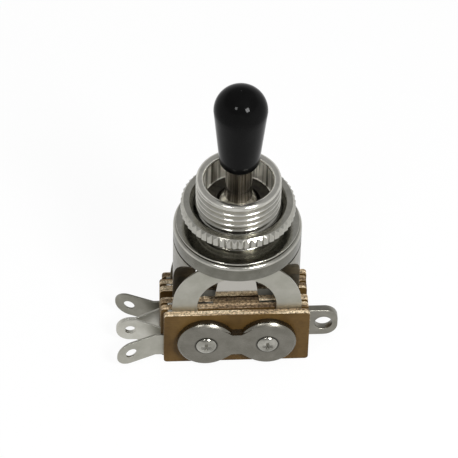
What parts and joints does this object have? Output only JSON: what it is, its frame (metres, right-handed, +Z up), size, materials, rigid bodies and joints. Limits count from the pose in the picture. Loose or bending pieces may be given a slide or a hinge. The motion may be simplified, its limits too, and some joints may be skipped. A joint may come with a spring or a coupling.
{
  "type": "panel mount toggle selector switch",
  "caption": "Three-position toggle selector with a threaded bushing, knurled nut, black lever tip and a clamped stack of insulating boards and leaf contacts with solder lugs.",
  "frame": {"origin": "on the bushing axis, in the plane of the flange face that seats behind the panel", "axes": "+Z up along the bushing towards the lever tip, -Y the front with the screw heads, -X the side with the four solder lugs"},
  "size_m": [0.0323, 0.0182, 0.05],
  "materials": {
    "nickel": "bright nickel plate",
    "clamp_nickel": "satin nickel plate",
    "screw_steel": "plated steel",
    "contact_alloy": "satin nickel silver",
    "dark_steel": "polished steel",
    "tip_plastic": "glossy black",
    "cam_nylon": "natural nylon",
    "phenolic": "paper phenolic board",
    "sleeve_fibre": "insulating fibre"
  },
  "bodies": {
    "base": {"bushing": "nickel", "pivot_pin": "dark_steel", "washer": "nickel", "knurled_nut": "nickel", "bracket": "nickel", "front_cover_board": "phenolic", "front_outer_spacer": "phenolic", "front_inner_spacer": "phenolic", "front_core_spacer": "phenolic", "rear_cover_board": "phenolic", "rear_outer_spacer": "phenolic", "rear_inner_spacer": "phenolic", "rear_core_spacer": "phenolic", "front_contact": "contact_alloy", "front_leaf": "contact_alloy", "rear_contact": "contact_alloy", "rear_leaf": "contact_alloy", "ground_lug": "contact_alloy", "front_clamp_plate": "clamp_nickel", "rear_clamp_plate": "clamp_nickel", "left_screw": "screw_steel", "right_screw": "screw_steel", "left_sleeve": "sleeve_fibre", "right_sleeve": "sleeve_fibre"},
    "lever": {"lever": "dark_steel", "lever_tip": "tip_plastic", "cam": "cam_nylon"}
  },
  "joints": [
    {"name": "lever_tilt", "type": "hinge", "parent": "base", "child": "lever", "pos_m": [0, 0, 0.0033], "axis": [1, 0, 0], "range_deg": [-12, 12], "deforming": ["front_leaf", "rear_leaf"]}
  ]
}
